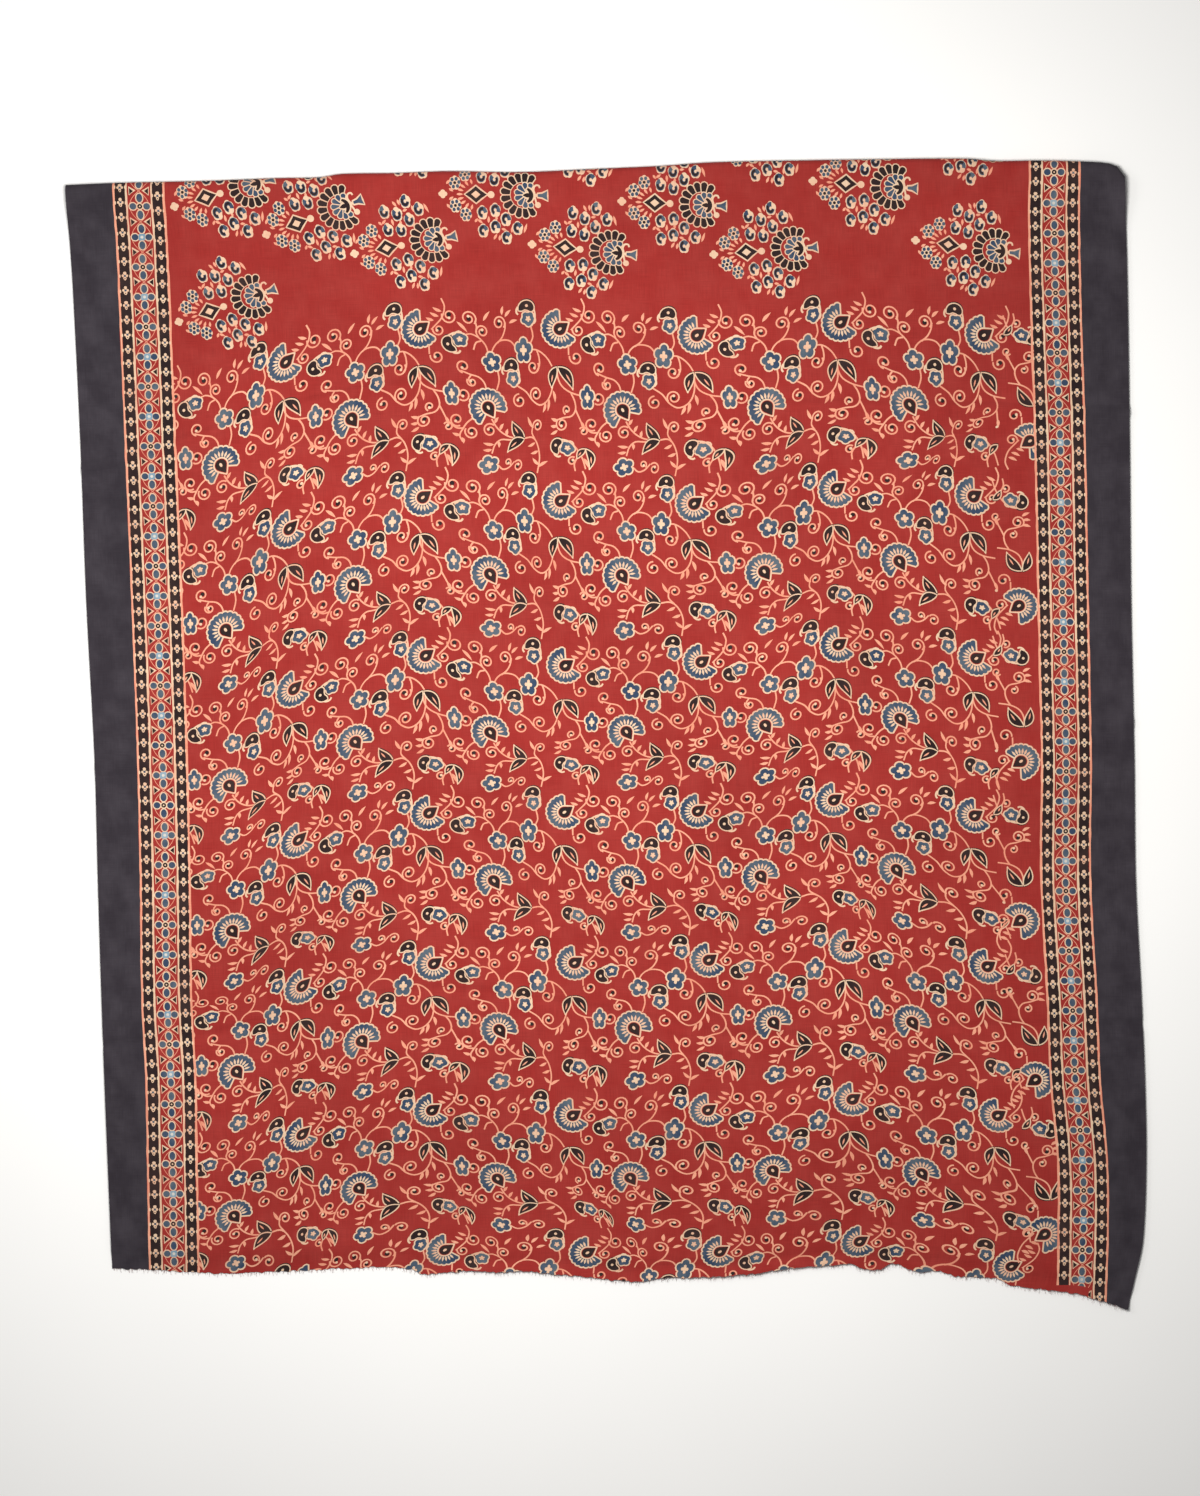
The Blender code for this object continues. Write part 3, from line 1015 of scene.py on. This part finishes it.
def front_print():
    """The whole print on the front layer and the roll."""
    draws = random.Random(7)
    shapes = field()
    chart = medallion()
    for x, y, rise in MEDALLIONS:
        over = max(y - ROLL_BEGINS, 0)
        ball = on_cloth([(x, y - over)])[0] + (0, over)
        shapes += [(ink, set_medallion(points, ball, rise)) for ink, points in chart]
    for side, pale_y in BORDER_SIDES:
        shapes += border(side, pale_y, draws, -640.0, 655.0)
    return shapes + bare_margin()


def back_print():
    """The back layer is out of sight, and keeps only the border's plain bands."""
    draws = random.Random(8)
    low, high = 600.0, 1860.0
    left = border("left", 0.0, draws, low, high, plain=True)
    return left + border("right", 0.0, draws, low, high, plain=True)


def layer_outline(low_edge, high_edge, ragged=0.0):
    """A layer's outline: its lower edge, right selvedge, upper edge and left selvedge."""
    draws = random.Random(3)
    u = np.linspace(0, LOOM_WIDTH, round(LOOM_WIDTH / RAGGED_PITCH) + 1)
    bottom = np.column_stack((u, low_edge(u)))
    bottom[:, 1] += [draws.uniform(-ragged, ragged) for _ in u]
    top = np.column_stack((u, high_edge(u)))[::-1]
    steps = round((top[0, 1] - bottom[-1, 1]) / GRID_PITCH)
    right = np.linspace(bottom[-1], top[0], steps)[1:-1]
    left = np.linspace(top[-1], bottom[0], steps)[1:-1]
    return np.vstack((bottom, right, top, left))


def bending_lines():
    """Lines across the front layer where it bends most: its creases, the roll and the raw end."""
    u = np.linspace(-1, LOOM_WIDTH + 1, round(LOOM_WIDTH / GRID_PITCH) + 1)
    rows = []
    for number in range(len(CREASE_HEIGHTS)):
        line = smooth_through(CREASE_LINES, u / LOOM_WIDTH, number + 1)
        rows += [line + offset for offset in CREASE_OFFSETS]
    rows += [roll_start(u) + ROLL_RADIUS * pi * k / ROLL_ROWS for k in range(ROLL_ROWS)]
    rows += [lower_end(u) + offset for offset in END_OFFSETS]
    return [np.column_stack((u, row)) for row in rows]


def grid_over(outline, pitch, lines=()):
    """Places all over an outline for its mesh to bend at, none close to the lines that it bends along."""
    low, high = outline.min(axis=0) + pitch / 2, outline.max(axis=0)
    across, up = np.meshgrid(np.arange(low[0], high[0], pitch), np.arange(low[1], high[1], pitch))
    places = np.column_stack((across.ravel(), up.ravel()))
    clear = np.ones(len(places), bool)
    for line in lines:
        clear &= np.abs(places[:, 1] - np.interp(places[:, 0], line[:, 0], line[:, 1])) > pitch * 0.4
    return places[clear]


def arrange(outline, ground, shapes, places, lines=()):
    """A flat mesh of an outline, cut at every edge of ink and along some lines.

    Gives its points, its triangles, each triangle's ink, and what each of the outline's points became.
    """
    points, faces, inks = [outline], [list(range(len(outline)))], [ground]
    low, high = outline.min(axis=0), outline.max(axis=0)
    count = len(outline)
    for ink, shape in shapes:
        if (shape.max(axis=0) < low).any() or (shape.min(axis=0) > high).any():
            continue
        points.append(shape if signed_area(shape) > 0 else shape[::-1])
        faces.append(list(range(count, count + len(shape))))
        inks.append(ink)
        count += len(shape)
    edges = []
    for line in lines:
        points.append(line)
        edges += [(count + k, count + k + 1) for k in range(len(line) - 1)]
        count += len(line)
    points.append(places)
    flat = [Vector(point) for point in np.vstack(points).tolist()]
    found, _, triangles, sources, _, covers = delaunay_2d_cdt(flat, edges, faces, 0, WELD, True)
    kept = [(tri, inks[max(cover)]) for tri, cover in zip(triangles, covers) if cover and min(cover) == 0]
    used, corners = np.unique([tri for tri, _ in kept], return_inverse=True)
    number = {old: new for new, old in enumerate(used.tolist())}
    became = {old: number.get(new) for new, olds in enumerate(sources) for old in olds}
    return (
        np.array([tuple(point) for point in found])[used],
        corners.reshape(-1, 3),
        np.array([INK_ORDER.index(ink) for _, ink in kept]),
        [became[old] for old in range(len(outline))],
    )


def outer_ring(triangles):
    """The outer edge of a mesh in one piece: its points in order, and the triangle at each of its edges."""
    edges = np.vstack((triangles[:, (0, 1)], triangles[:, (1, 2)], triangles[:, (2, 0)]))
    size = triangles.max() + 1
    outer = ~np.isin(edges[:, 0] * size + edges[:, 1], edges[:, 1] * size + edges[:, 0])
    owners = np.tile(np.arange(len(triangles)), 3)[outer]
    after = {a: (b, owner) for (a, b), owner in zip(edges[outer].tolist(), owners.tolist())}
    start = next(iter(after))
    ring, beside = [start], [after[start][1]]
    while after[ring[-1]][0] != start:
        ring.append(after[ring[-1]][0])
        beside.append(after[ring[-1]][1])
    return ring, beside


def laid_in_map(points, low, high, bottom, top):
    """Where points of a piece lie in its colour map, between two heights of the map."""
    share = (points - low) / (high - low)
    return np.column_stack((share[:, 0], bottom + (top - bottom) * share[:, 1]))


def sheet_piece(name, points, triangles, inks, bands, under_places):
    """A piece of one layer as a closed sheet: its printed face, its reverse and its edges all round."""
    used, corners = np.unique(triangles, return_inverse=True)
    points, triangles = points[used], corners.reshape(-1, 3)
    ring, beside = outer_ring(triangles)
    back, under, under_inks, became = arrange(points[ring], "reverse", bands, under_places)
    became = np.array(became) + len(points)
    under = under[:, ::-1] + len(points)
    flat = np.vstack((points, back))
    place = lie(*flat.T)
    normal = facing(*flat.T)
    normal[len(points):] *= -1
    place[len(points):] += normal[len(points):] * THICKNESS * MM

    here, there = np.array(ring), np.roll(ring, -1)
    under_here, under_there = became, np.roll(became, -1)
    walls = np.vstack((
        np.column_stack((there, here, under_here)),
        np.column_stack((there, under_here, under_there)),
    ))
    faces = np.vstack((triangles, under, walls))
    wall_inks = np.tile(inks[beside], 2)
    wall_sides = np.cross(place[walls[:, 1]] - place[walls[:, 0]], place[walls[:, 2]] - place[walls[:, 0]])
    wall_sides /= np.maximum(np.linalg.norm(wall_sides, axis=1), 1e-12)[:, None]

    low, high = points.min(axis=0), points.max(axis=0)
    spots = np.vstack((
        laid_in_map(points, low, high, FACE_IN_MAP, 1.0),
        laid_in_map(back, low, high, 0.0, REVERSE_IN_MAP),
    ))
    round_it = np.arange(len(ring)) / len(ring)
    edge_here = np.column_stack((round_it, np.full(len(ring), EDGE_IN_MAP[1])))
    edge_there = edge_here + (1 / len(ring), 0)
    drop = (0, EDGE_IN_MAP[0] - EDGE_IN_MAP[1])
    edge_spots = np.vstack((
        np.stack((edge_there, edge_here, edge_here + drop), axis=1),
        np.stack((edge_there, edge_here + drop, edge_there + drop), axis=1),
    ))

    mesh = bpy.data.meshes.new(name)
    mesh.from_pydata(place.tolist(), [], faces.tolist())
    mesh.shade_smooth()
    bake_map = mesh.uv_layers.new(name="OFBake")
    sides = np.vstack((triangles, under))
    bake_spots = np.vstack((spots[sides].reshape(-1, 2), edge_spots.reshape(-1, 2)))
    bake_map.data.foreach_set("uv", bake_spots.ravel())
    cloth_map = mesh.uv_layers.new(name=CLOTH_MAP)
    cloth_map.data.foreach_set("uv", (flat[faces] * MM).ravel())
    loop_normals = np.vstack((normal[sides].reshape(-1, 3), np.repeat(wall_sides, 3, axis=0)))
    set_inks(mesh, np.concatenate((inks, under_inks, wall_inks)))
    mesh.normals_split_custom_set(loop_normals.tolist())
    return add_object(name, mesh), high - low


def set_inks(mesh, inks):
    """Gives a mesh the materials of the inks on it, face by face."""
    used, slots = np.unique(inks, return_inverse=True)
    for ink in used:
        mesh.materials.append(bpy.data.materials[INK_ORDER[ink]])
    mesh.polygons.foreach_set("material_index", slots.ravel())


def add_object(name, data):
    thing = bpy.data.objects.new(name, data)
    bpy.context.scene.collection.objects.link(thing)
    return thing


def sheet_pieces(prefix, arranged, columns, cuts, bands, under_places):
    """One layer in pieces, by columns across and by cuts up the cloth."""
    points, triangles, inks, _ = arranged
    middles = points[triangles].mean(axis=1)
    column = (middles[:, 0] / LOOM_WIDTH * columns).astype(int)
    row = np.searchsorted(cuts, middles[:, 1])
    pieces = []
    for k in range(len(cuts) + 1):
        for j in range(columns):
            chosen = (column == j) & (row == k)
            name = f"{prefix}_{k + 1}_{j + 1}"
            pieces.append(sheet_piece(name, points, triangles[chosen], inks[chosen], bands, under_places))
    return pieces


def cutting_lines(columns, cuts, low, high):
    """The straight lines between a layer's pieces."""
    lines = [np.array(((-2.0, y), (LOOM_WIDTH + 2, y))) for y in cuts]
    for j in range(1, columns):
        lines.append(np.array(((LOOM_WIDTH * j / columns, low), (LOOM_WIDTH * j / columns, high))))
    return lines


def front_layer():
    """The printed layer that shows, with the roll at its top."""
    outline = layer_outline(lower_end, roll_end, ragged=1.0)
    shapes = front_print()
    bends = bending_lines()
    cuts = cutting_lines(FRONT_COLUMNS, FRONT_CUTS, -660.0, 680.0)
    places = grid_over(outline, GRID_PITCH, bends)
    arranged = arrange(outline, "red", shapes, places, bends + cuts)
    bands = [shape for shape in shapes if shape[0] == "selvedge"]
    under_places = np.vstack([grid_over(outline, UNDER_PITCH, bends)] + [line[::2] for line in bends])
    return sheet_pieces("printed_face", arranged, FRONT_COLUMNS, FRONT_CUTS, bands, under_places)


def back_layer():
    """The layer that the cloth is folded back on, printed face down."""
    outline = layer_outline(roll_end, back_end)
    shapes = back_print()
    cuts = cutting_lines(BACK_COLUMNS, BACK_CUTS, 590.0, 1900.0)
    places = grid_over(outline, UNDER_PITCH)
    arranged = arrange(outline, "red", shapes, places, cuts)
    bands = [shape for shape in shapes if shape[0] == "selvedge"]
    return sheet_pieces("folded_back", arranged, BACK_COLUMNS, BACK_CUTS, bands, places)


def frayed_threads(name, low_u, high_u, draws):
    """The loose ends of the warp along the raw lower end, as thin three-sided threads."""
    points, faces = [], []
    u = low_u
    while u < high_u:
        length = draws.uniform(*FRAY_LENGTHS)
        f = np.linspace(0, 1, FRAY_STEPS)
        lean, bend = draws.uniform(-0.6, 0.6), draws.uniform(-1.0, 1.0)
        along = lower_end(np.full(FRAY_STEPS, u)) + FRAY_ROOT - f * (length + FRAY_ROOT)
        path = lie(u + lean * length * f + bend * f * f, along) - (0, 0, THICKNESS * MM / 2)
        first = len(points)
        for k, middle in enumerate(path):
            for turn in (90, 210, 330):
                reach = THREAD_RADIUS * MM * (1 - 0.5 * f[k])
                points.append(middle + (reach * cos(radians(turn)), 0, reach * sin(radians(turn))))
        for k in range(FRAY_STEPS - 1):
            for side in range(3):
                a, b = first + 3 * k + side, first + 3 * k + (side + 1) % 3
                faces.append((a, b, b + 3, a + 3))
        last = first + 3 * (FRAY_STEPS - 1)
        faces += [(first, first + 2, first + 1), (last, last + 1, last + 2)]
        u += draws.uniform(*FRAY_SPACING)
    mesh = bpy.data.meshes.new(name)
    mesh.from_pydata([tuple(point) for point in points], [], faces)
    mesh.shade_smooth()
    mesh.materials.append(bpy.data.materials["loose_thread"])
    return add_object(name, mesh)


def linear(colour):
    """A colour given as an eye sees it, 0 to 255, in the scene's own scale."""
    shares = [c / 255 for c in colour]
    return tuple(s / 12.92 if s <= 0.04045 else ((s + 0.055) / 1.055) ** 2.4 for s in shares) + (1.0,)


def add_node(tree, kind, **settings):
    node = tree.nodes.new(kind)
    for key, value in settings.items():
        setattr(node, key, value)
    return node


def cloth_noise(tree, across, along, detail=2.0):
    """Noise on the cloth, with so many spots to the metre across it and along it."""
    spot = add_node(tree, "ShaderNodeUVMap", uv_map=CLOTH_MAP)
    stretch = add_node(tree, "ShaderNodeMapping")
    stretch.inputs["Scale"].default_value = (across, along, 1.0)
    noise = add_node(tree, "ShaderNodeTexNoise", noise_dimensions="2D")
    noise.inputs["Scale"].default_value = 1.0
    noise.inputs["Detail"].default_value = detail
    tree.links.new(spot.outputs["UV"], stretch.inputs["Vector"])
    tree.links.new(stretch.outputs["Vector"], noise.inputs["Vector"])
    return noise.outputs["Fac"]


def between(tree, value, low, high, new_low, new_high):
    """A value's range moved to a new one, and kept in it."""
    node = add_node(tree, "ShaderNodeMapRange")
    for name, number in (("From Min", low), ("From Max", high), ("To Min", new_low), ("To Max", new_high)):
        node.inputs[name].default_value = number
    tree.links.new(value, node.inputs["Value"])
    return node.outputs["Result"]


def product(tree, first, second):
    node = add_node(tree, "ShaderNodeMath", operation="MULTIPLY")
    tree.links.new(first, node.inputs[0])
    tree.links.new(second, node.inputs[1])
    return node.outputs["Value"]


def cotton_ink(name, colour, faded, fading, roughness=0.86):
    """Dyed cotton: its colour fades unevenly, its threads vary, and its weave stands up a little."""
    material = bpy.data.materials.new(name)
    material.use_nodes = True
    tree = material.node_tree
    shader = tree.nodes["Principled BSDF"]

    patches = between(tree, cloth_noise(tree, 38, 34, 3.0), 0.34, 0.72, 0.0, fading)
    dye = add_node(tree, "ShaderNodeMix", data_type="RGBA")
    dye.inputs[6].default_value = linear(colour)
    dye.inputs[7].default_value = linear(faded)
    tree.links.new(patches, dye.inputs[0])

    clouds = between(tree, cloth_noise(tree, 7, 6), 0.25, 0.75, 0.93, 1.07)
    warp = between(tree, cloth_noise(tree, 1900, 45, 1.0), 0.2, 0.8, 0.90, 1.10)
    weft = between(tree, cloth_noise(tree, 45, 1900, 1.0), 0.2, 0.8, 0.92, 1.08)
    threads = product(tree, warp, weft)
    tone = add_node(tree, "ShaderNodeVectorMath", operation="SCALE")
    tree.links.new(dye.outputs[2], tone.inputs[0])
    tree.links.new(product(tree, clouds, threads), tone.inputs["Scale"])
    tree.links.new(tone.outputs["Vector"], shader.inputs["Base Color"])

    bump = add_node(tree, "ShaderNodeBump")
    bump.inputs["Strength"].default_value = WEAVE_BUMP
    bump.inputs["Distance"].default_value = WEAVE_HEIGHT * MM
    tree.links.new(threads, bump.inputs["Height"])
    tree.links.new(bump.outputs["Normal"], shader.inputs["Normal"])

    rough = between(tree, threads, 0.8, 1.2, roughness + 0.06, roughness - 0.06)
    tree.links.new(rough, shader.inputs["Roughness"])
    shader.inputs["Specular IOR Level"].default_value = 0.1
    shader.inputs["Sheen Weight"].default_value = 0.03
    shader.inputs["Sheen Roughness"].default_value = 0.5
    return material


def make_inks():
    for name, colour, faded, fading in INKS:
        cotton_ink(name, colour, faded, fading)


def mottled(name, first, second, scale, roughness):
    """A plain material that drifts between two colours."""
    material = bpy.data.materials.new(name)
    material.use_nodes = True
    tree = material.node_tree
    shader = tree.nodes["Principled BSDF"]
    spot = add_node(tree, "ShaderNodeTexCoord")
    noise = add_node(tree, "ShaderNodeTexNoise")
    noise.inputs["Scale"].default_value = scale
    tone = add_node(tree, "ShaderNodeMix", data_type="RGBA")
    tone.inputs[6].default_value = linear(first)
    tone.inputs[7].default_value = linear(second)
    tree.links.new(spot.outputs["Object"], noise.inputs["Vector"])
    tree.links.new(noise.outputs["Fac"], tone.inputs[0])
    tree.links.new(tone.outputs[2], shader.inputs["Base Color"])
    shader.inputs["Roughness"].default_value = roughness
    return material


def loose_thread():
    """The threads' own colour, which runs unevenly from dark to mid red along the raw end."""
    material = mottled("loose_thread", THREAD_DARK, THREAD_RED, 60.0, 0.9)
    material.node_tree.nodes["Principled BSDF"].inputs["Specular IOR Level"].default_value = 0.2


def pale_floor():
    duller = [c - FLOOR_MOTTLE for c in FLOOR_COLOUR]
    return mottled("pale_floor", FLOOR_COLOUR, duller, 3.0, 0.7)


def add_floor():
    mesh = bpy.data.meshes.new("floor")
    half = FLOOR_HALF
    corners = [(-half, -half, -FLOOR_DROP), (half, -half, -FLOOR_DROP), (half, half, -FLOOR_DROP),
               (-half, half, -FLOOR_DROP)]
    mesh.from_pydata([tuple(c * MM for c in corner) for corner in corners], [], [(0, 1, 2, 3)])
    mesh.materials.append(pale_floor())
    add_object("floor", mesh)


def add_light(name, place, aim, size, power, tint):
    light = bpy.data.lights.new(name, "AREA")
    light.shape = "DISK"
    light.size = size * MM
    light.energy = power
    light.color = tint
    lamp = add_object(name, light)
    lamp.location = [c * MM for c in place]
    lamp.rotation_mode = "QUATERNION"
    lamp.rotation_quaternion = (Vector(aim) - Vector(place)).to_track_quat("-Z", "Y")
    lamp.visible_camera = False


def add_lights():
    for row in LIGHTS:
        add_light(*row)
    world = bpy.data.worlds.new("soft_room")
    world.use_nodes = True
    world.node_tree.nodes["Background"].inputs["Color"].default_value = (1.0, 1.0, 1.0, 1.0)
    world.node_tree.nodes["Background"].inputs["Strength"].default_value = ROOM_LIGHT
    bpy.context.scene.world = world
    bpy.context.scene.view_settings.view_transform = "Standard"


def add_camera():
    """Straight above the cloth, as high as the photo's framing needs."""
    data = bpy.data.cameras.new("camera")
    data.lens = LENS
    data.sensor_width = SENSOR
    data.clip_start, data.clip_end = 0.1, 50.0
    camera = add_object("camera", data)
    height = VIEW_TALL * LENS / SENSOR
    camera.location = (VIEW_MIDDLE[0] * MM, VIEW_MIDDLE[1] * MM, (height + FACE_HEIGHT) * MM)
    bpy.context.scene.camera = camera


def declare(piece):
    """Sets a piece of cloth to ride on the root, and hides the model's own cloth."""
    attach(piece, "root")
    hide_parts("cloth")


def main():
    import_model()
    make_inks()
    loose_thread()
    back = back_layer()
    front = front_layer()

    draws = random.Random(11)
    for j in range(FRONT_COLUMNS):
        low, high = LOOM_WIDTH * j / FRONT_COLUMNS, LOOM_WIDTH * (j + 1) / FRONT_COLUMNS
        fray = frayed_threads(f"frayed_end_{j + 1}", low + 1, high - 1, draws)
        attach(fray, "root")

    for piece, extent in back:
        declare(piece)
    for number, (piece, extent) in enumerate(front):
        declare(piece)

    add_floor()
    add_lights()
    add_camera()


main()
